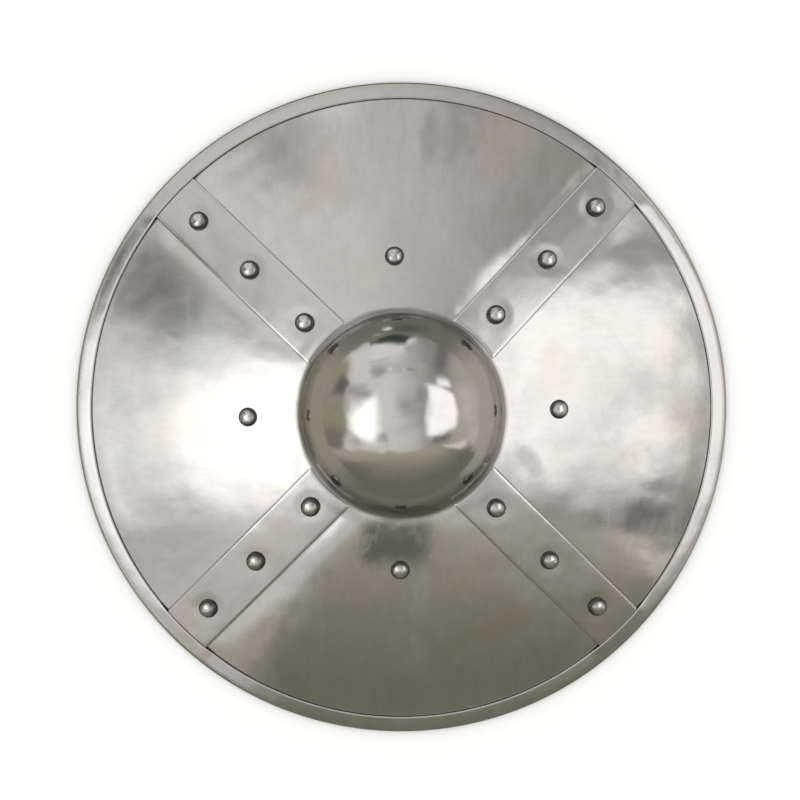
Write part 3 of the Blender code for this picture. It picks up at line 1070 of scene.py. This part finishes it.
wrap = {
    "sides": 72,
    "rings": 240,
    "strip": 0.0125,  # how far the leather strip goes on in one turn
    "step": 0.001,  # thickness of the strip where it laps itself
    "lapRise": 0.08,  # part of a turn over which it steps up
    "lapFall": 0.85,  # how much of the step is gone at the end of the turn
    "waist": 0.86,  # size at the ends, and how much more in the middle
    "belly": 0.06,
    "endRoll": 0.0045,
    "endSize": (0.0132, 0.002),  # half width and half thickness, down on the bar
    "squareness": 0.82,  # 1 is an ellipse
    "flatter": 0.9,
    "waves": ((0.016, 0.00022), (0.005, 0.00006)),
    "waveShare": 0.6,
}


def makeGripWrap():
    low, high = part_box("grip_wrap")
    centre = (low + high) / 2
    half = (high - low) / 2
    length = high.y - low.y
    endX, endZ = wrap["endSize"]
    points, lay = [], []
    for i in range(wrap["rings"] + 1):
        t = i / wrap["rings"]
        y = low.y + length * t
        # the ends close down on the bar in a soft roll
        left = max(0.0, 1 - min(t, 1 - t) * length / wrap["endRoll"])
        close = math.sqrt(max(0.0, 1 - left**2))
        swell = wrap["waist"] + wrap["belly"] * math.sin(math.pi * t) ** 2
        for j in range(wrap["sides"]):
            around = j / wrap["sides"]
            part = ((y - low.y) / wrap["strip"] + around) % 1.0
            # each turn lies on the one before: a quick step up, then a slow fall
            rise = wrap["step"] * min(part / wrap["lapRise"], 1.0) * (1 - wrap["lapFall"] * part)
            a = (half.x * swell + rise) * close + endX * (1 - close)
            b = (half.z * swell + rise * wrap["flatter"]) * close + endZ * (1 - close)
            c, s = math.cos(2 * math.pi * around), math.sin(2 * math.pi * around)
            x = centre.x + a * math.copysign(abs(c) ** wrap["squareness"], c)
            z = centre.z + b * math.copysign(abs(s) ** wrap["squareness"], s)
            points.append((x, y, z))
            lay.append((y, around, 1 - part if part > 0.0 else 1.0))
    verts = np.array(points)
    shift = waves(verts, 31, wrap["waves"]) * wrap["waveShare"]
    verts[:, 2] += shift * np.sign(verts[:, 2] - centre.z)
    verts = np.clip(verts, np.array(low), np.array(high))
    verts = np.concatenate([verts, [(centre.x, low.y, centre.z), (centre.x, high.y, centre.z)]])
    lay += [(0, 0, 0), (0, 0, 0)]
    faces = closedFaces(wrap["rings"] + 1, wrap["sides"])
    newPiece("gripWrap", verts, faces, "grip_leather", "grip_wrap", [leather], lay)


makeGripBar()
makeGripWrap()
print("grip made")


def facesOut():
    # every closed piece gets its faces pointing out
    for piece in bpy.context.scene.objects:
        if piece.type == "MESH" and "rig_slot" in piece:
            bm = bmesh.new()
            bm.from_mesh(piece.data)
            bmesh.ops.recalc_face_normals(bm, faces=bm.faces[:])
            bm.to_mesh(piece.data)
            bm.free()


facesOut()

# Cards that stand near the shield: corners in metres, how far their edges fade, and
# the colours that they glow with at the top and at the foot.
cards = {
    "softBoxRight": {
        "corners": ((0.48, -0.64, 1.1), (1.08, -0.39, 0.652), (1.08, 0.39, 0.652), (0.44, 0.8, 1.13)),
        "fade": 0.16,
        "colour": (1.56, 1.54, 1.5),
        "footColour": (1.5, 1.48, 1.44),
    },
    "softBoxLeft": {
        "corners": ((-1.03, -0.38, 0.6), (-0.42, -0.97, 1.2), (-0.42, 0.58, 1.2), (-1.03, 0.14, 0.6)),
        "fade": 0.29,
        "colour": (1.95, 1.95, 1.94),
        "footColour": (1.8, 1.8, 1.78),
    },
    "apron": {  # an olive cloth that hangs before the table
        "corners": (
            (-0.19, -0.345, 0.515), (-0.24, -0.365, -0.05),
            (0.66, -0.365, -0.05), (0.42, -0.345, 0.515),
        ),
        "fade": 0.045,
        "colour": (0.5, 0.47, 0.39),
        "footColour": (0.2, 0.2, 0.15),
    },
    "paleBoard": {  # a pale board that stands under the right box
        "corners": (
            (0.465, -0.46, 0.475), (0.675, -0.395, 0.165),
            (0.699, -0.306, 0.23), (0.489, -0.376, 0.535),
        ),
        "fade": 0.03,
        "colour": (0.94, 0.88, 0.8),
        "footColour": (0.9, 0.84, 0.76),
    },
    "darkBlock": {  # a small dark block beside the shield on the left
        "corners": (
            (-0.336, 0.082, 0.105), (-0.279, 0.205, 0.105),
            (-0.279, 0.205, 0.24), (-0.336, 0.082, 0.24),
        ),
        "fade": 0.035,
        "colour": (0.17, 0.17, 0.15),
        "footColour": (0.17, 0.17, 0.15),
    },
}

# What else stands round the table, as polished steel sees it. Each soft patch has
# its middle and half size in degrees from overhead, its turn, how far it fades, its
# strength and its colour.
patches = (
    ((0, 104), (140, 18), 0, 19.6, 1.0, (0.225, 0.225, 0.185)),  # dark far end of the room
    ((47, 66), (8, 20), -14, 11.2, 0.95, (0.22, 0.22, 0.19)),  # dark column on the right
    ((92, 18), (35, 58), -8, 12.6, 1.0, (0.57, 0.51, 0.45)),  # warm wall on the right
    ((75, 8), (10, 22), 0, 19.6, 0.8, (0.7, 0.69, 0.66)),
    ((90, -30), (18, 12), 0, 14, 0.8, (0.66, 0.64, 0.61)),
    ((-93, 20), (35, 42), 0, 12.6, 1.0, (0.4, 0.365, 0.28)),  # brown wall on the left
    ((-76, 22), (7, 9), 0, 8.4, 0.6, (0.44, 0.4, 0.37)),
    ((-72, 84), (30, 18), 35, 16.8, 1.0, (0.22, 0.22, 0.18)),
    ((-95, -36), (31, 20), 0, 12.6, 1.0, (0.26, 0.26, 0.22)),
    ((-50, 29), (12, 3), -8, 8.4, 0.6, (0.5, 0.5, 0.46)),
    ((-44, 20), (14, 4.5), -10, 9, 0.75, (0.32, 0.32, 0.29)),
    ((-14, 70.5), (20, 5.5), 6, 7, 0.9, (1.0, 0.95, 0.92)),  # pale beam
    ((-24, 45), (8, 5), 0, 9, 0.85, (0.36, 0.36, 0.33)),
    ((-4, 48), (30, 8), 0, 11, 0.6, (0.58, 0.57, 0.53)),
    ((22, 19), (7, 7), 0, 10, 0.9, (0.36, 0.36, 0.34)),
    ((-24, 60), (14, 1.2), 8, 5.6, 0.5, (0.5, 0.49, 0.46)),
    ((-8, 90), (20, 10), 4, 8.4, 1.0, (0.045, 0.058, 0.045)),  # dark doorway
    ((-30, 81), (9, 3.5), 12, 5.6, 0.9, (0.06, 0.075, 0.06)),
    ((14, 82), (5, 3.5), 0, 5.6, 0.9, (0.95, 0.95, 0.9)),
    ((-10, 46), (2.5, 2.2), 0, 1.5, 0.7, (1.1, 1.1, 1.05)),  # lamps and fittings
    ((4, 46), (1.5, 2.5), 0, 1.5, 0.5, (0.85, 0.85, 0.8)),
    ((12, 46), (4, 2), 0, 2.5, 0.7, (0.27, 0.27, 0.25)),
    ((18, 43.6), (2.5, 2), 0, 2, 0.7, (0.62, 0.54, 0.48)),
    ((-24, 43), (3, 3), 0, 5.6, 0.7, (0.42, 0.42, 0.4)),
    ((46, 33), (9, 5), 0, 8.4, 0.9, (1.55, 1.52, 1.48)),  # glow over the right box
    ((-14, -26), (36, 10), 0, 16.8, 0.6, (0.8, 0.8, 0.78)),  # pale band over the cloth
    ((-32, -37), (14, 3.5), 0, 8.4, 0.8, (0.8, 0.8, 0.76)),
    ((-46, -29), (12, 7), 30, 14, 0.7, (0.5, 0.49, 0.45)),
    ((4, 10), (8, 8), 0, 18.2, 0.9, (0.42, 0.42, 0.4)),  # the camera and its stand
    ((0, -17), (8, 6), 0, 14, 0.35, (0.5, 0.5, 0.47)),
    ((-24, -27), (6, 5), 0, 6, 0.9, (0.33, 0.33, 0.31)),
    ((41, -25), (9, 4.5), 10, 5, 1.0, (0.16, 0.16, 0.145)),  # dark edge under the right box
    ((88, -55), (16, 6), -10, 7, 0.8, (0.17, 0.17, 0.15)),
)

# Reflections of the far end on the floor: middle, half size, strength and colour.
floorMarks = (
    ((0.05, 0.62), (0.09, 0.26), 0.9, (0.08, 0.095, 0.08)),
    ((-0.065, 0.43), (0.022, 0.035), 0.9, (1.5, 1.5, 1.45)),
    ((-0.216, 0.72), (0.04, 0.08), 0.7, (0.7, 0.7, 0.66)),
)

# A pair of numbers is where one colour starts to turn into the next, and where it has:
# in degrees from overhead, or as a share of one for the floor's sides and the horizon.
studio = {
    "floorSize": 14.0,
    "floorColour": (0.93, 0.93, 0.92),
    "floorShade": (0.8, 0.8, 0.8),
    "floorMottle": ((1.3, 3.0), 0.012),
    "floorRough": 0.85,
    "floorSpecular": 0.2,
    "floorSeen": (0.19, 0.19, 0.15),  # the floor as polished steel sees it
    "floorRight": (0.46, 0.425, 0.38),
    "floorLeft": (0.36, 0.335, 0.265),
    "floorSides": (0.55, 0.9),
    "cardFoot": 0.12,  # lowest height at which a card has its foot colour
    "ceilingLeft": (0.86, 0.86, 0.83),
    "ceilingRight": (0.37, 0.365, 0.335),
    "ceilingTurn": (-14, 36),
    "clothLeft": (0.48, 0.45, 0.37),  # what hangs beyond the apron
    "clothRight": (0.26, 0.25, 0.2),
    "clothTurn": (-35, 25),
    "cloth": (0.21, 0.205, 0.155),
    "clothDown": (-45, -60),
    "clothLow": (0.175, 0.175, 0.13),
    "clothFoot": (-62, -85),
    "clothEdge": (-38.5, -42.5),
    "edgeDrop": ((60, 95), 5),  # the edge lies a little lower on the far right
    "below": (0.21, 0.21, 0.17),
    "horizon": (-0.35, -0.1),
    "roomLight": (1.1, 1.1, 1.1),
}


def addStage(name, corners, material):
    mesh = bpy.data.meshes.new(name)
    mesh.from_pydata(corners, [], [(0, 1, 2, 3)])
    mesh.materials.append(material)
    thing = bpy.data.objects.new(name, mesh)
    bpy.context.scene.collection.objects.link(thing)
    return thing


def softPatch(bench, offsets, sizes, fades):
    # 1 in the middle of a rectangle and 0 outside it
    sides = [
        bench.soft(bench.absolute(away), size + fade / 2, max(size - fade / 2, 0.0))
        for away, size, fade in zip(offsets, sizes, fades)
    ]
    return sides[0] * sides[1]


def makeFloor():
    material, bench, shader = newFinish("paleFloor")
    spots = bench.places()
    noiseSettings, amount = studio["floorMottle"]
    shade = bench.grain(spots, *noiseSettings) * amount
    plain = bench.mix(shade, studio["floorColour"], studio["floorShade"])
    side = bench.part(bench.vectorMaths("NORMALIZE", spots), "X")
    start, end = studio["floorSides"]
    seen = bench.mix(bench.soft(side, start, end), studio["floorSeen"], studio["floorRight"])
    seen = bench.mix(bench.soft(side, -start, -end), seen, studio["floorLeft"])
    x, y = bench.part(spots, "X"), bench.part(spots, "Y")
    for (px, py), half, strength, colour in floorMarks:
        seen = bench.mix(softPatch(bench, (x - px, y - py), half, half) * strength, seen, colour)
    glossy = bench.node("ShaderNodeLightPath", {}, {}, "Is Glossy Ray")
    bench.feed(shader.inputs["Base Color"], bench.mix(glossy, plain, seen))
    shader.inputs["Roughness"].default_value = studio["floorRough"]
    shader.inputs["Specular IOR Level"].default_value = studio["floorSpecular"]
    half = studio["floorSize"] / 2
    addStage("floor", [(-half, -half, 0), (half, -half, 0), (half, half, 0), (-half, half, 0)], material)


def makeCard(name, settings):
    # a glowing card whose edges fade into the room
    material, bench, shader = newFinish(name)
    corners = [Vector(c) for c in settings["corners"]]
    spots = bench.places()
    facing = (corners[1] - corners[0]).cross(corners[3] - corners[0])
    inside = 1.0
    for start, end in zip(corners, corners[1:] + corners[:1]):
        inward = facing.cross(end - start).normalized()
        depth = bench.dot(spots, inward) - inward.dot(start)
        inside = bench.soft(depth, 0.0, settings["fade"]) * inside
    heights = [corner.z for corner in corners]
    up = bench.soft(bench.part(spots, "Z"), max(min(heights), studio["cardFoot"]), max(heights))
    bench.feed(shader.inputs["Base Color"], (0.0, 0.0, 0.0))
    bench.feed(shader.inputs["Emission Color"], bench.mix(up, settings["footColour"], settings["colour"]))
    shader.inputs["Emission Strength"].default_value = 1.0
    shader.inputs["Specular IOR Level"].default_value = 0.0
    clear = bench.node("ShaderNodeBsdfTransparent", {}, {})
    glow = Wire(bench, shader.outputs[0])
    both = bench.node("ShaderNodeMixShader", {}, {0: inside, 1: clear, 2: glow})
    end = next(n for n in material.node_tree.nodes if n.type == "OUTPUT_MATERIAL")
    bench.feed(end.inputs["Surface"], both)
    card = addStage(name, corners, material)
    card.visible_camera = False
    card.visible_diffuse = False
    card.visible_shadow = False


def makeSurroundings():
    # steel sees the room; everything else sees plain pale light
    world = bpy.data.worlds.new("studioRoom")
    bpy.context.scene.world = world
    world.use_nodes = True
    world.node_tree.nodes.clear()
    bench = Bench(world.node_tree)
    facing = bench.node("ShaderNodeTexCoord", {}, {}, "Generated")
    x, y, z = (bench.part(facing, axis) for axis in "XYZ")
    level = bench.maths("SQRT", x * x + y * y)
    degrees = bench.maths("ARCTAN2", level, z) * (180 / math.pi) / (level + 0.0001)
    right, ahead = x * degrees, y * degrees  # degrees from overhead
    turning = bench.soft(right, *studio["ceilingTurn"])
    room = bench.mix(turning, studio["ceilingLeft"], studio["ceilingRight"])
    for (px, py), half, turn, fade, strength, colour in patches:
        c, s = math.cos(math.radians(turn)), math.sin(math.radians(turn))
        across = (right - px) * c + (ahead - py) * s
        along = (ahead - py) * c - (right - px) * s
        mask = softPatch(bench, (across, along), half, (fade, fade))
        room = bench.mix(mask * strength, room, colour)
    ends, drop = studio["edgeDrop"]
    edge = ahead + bench.soft(right, *ends) * drop
    cloth = bench.mix(bench.soft(right, *studio["clothTurn"]), studio["clothLeft"], studio["clothRight"])
    cloth = bench.mix(bench.soft(edge, *studio["clothDown"]), cloth, studio["cloth"])
    cloth = bench.mix(bench.soft(edge, *studio["clothFoot"]), cloth, studio["clothLow"])
    room = bench.mix(bench.soft(edge, *studio["clothEdge"]), room, cloth)
    room = bench.mix(1 - bench.soft(z, *studio["horizon"]), room, studio["below"])
    glossy = bench.node("ShaderNodeLightPath", {}, {}, "Is Glossy Ray")
    seen = bench.mix(glossy, studio["roomLight"], room)
    shade = bench.node("ShaderNodeBackground", {}, {"Color": seen, "Strength": 1.0})
    bench.node("ShaderNodeOutputWorld", {}, {"Surface": shade})


makeFloor()
for name, settings in cards.items():
    makeCard(name, settings)
makeSurroundings()
print("studio made")

view = {
    "distance": 2.2,
    "tilt": 3.29,  # degrees from overhead towards +Y
    "lean": -0.15,  # degrees from overhead towards +X
    "roll": 1.06,  # degrees clockwise about the line of sight
    "lens": 140.6,
    "sensor": 36.0,
    "clip": (0.05, 50.0),
    "aim": (-0.0009, 0.0061, 0.0),
}


def makeCamera():
    lens = bpy.data.cameras.new("camera")
    lens.lens = view["lens"]
    lens.sensor_width = view["sensor"]
    lens.clip_start, lens.clip_end = view["clip"]
    camera = bpy.data.objects.new("camera", lens)
    tilt, lean, roll = (math.radians(view[k]) for k in ("tilt", "lean", "roll"))
    back = Vector((math.sin(lean) * math.cos(tilt), math.sin(tilt), math.cos(lean) * math.cos(tilt)))
    right = Vector((0, 1, 0)).cross(back).normalized()
    upward = back.cross(right)
    turnedRight = math.cos(roll) * right - math.sin(roll) * upward
    turnedUp = math.sin(roll) * right + math.cos(roll) * upward
    turn = Matrix((turnedRight, turnedUp, back)).transposed().to_4x4()
    camera.matrix_world = Matrix.Translation(Vector(view["aim"]) + back * view["distance"]) @ turn
    bpy.context.scene.collection.objects.link(camera)
    bpy.context.scene.camera = camera


makeCamera()
bpy.context.scene.view_settings.view_transform = "Standard"
print("camera made")
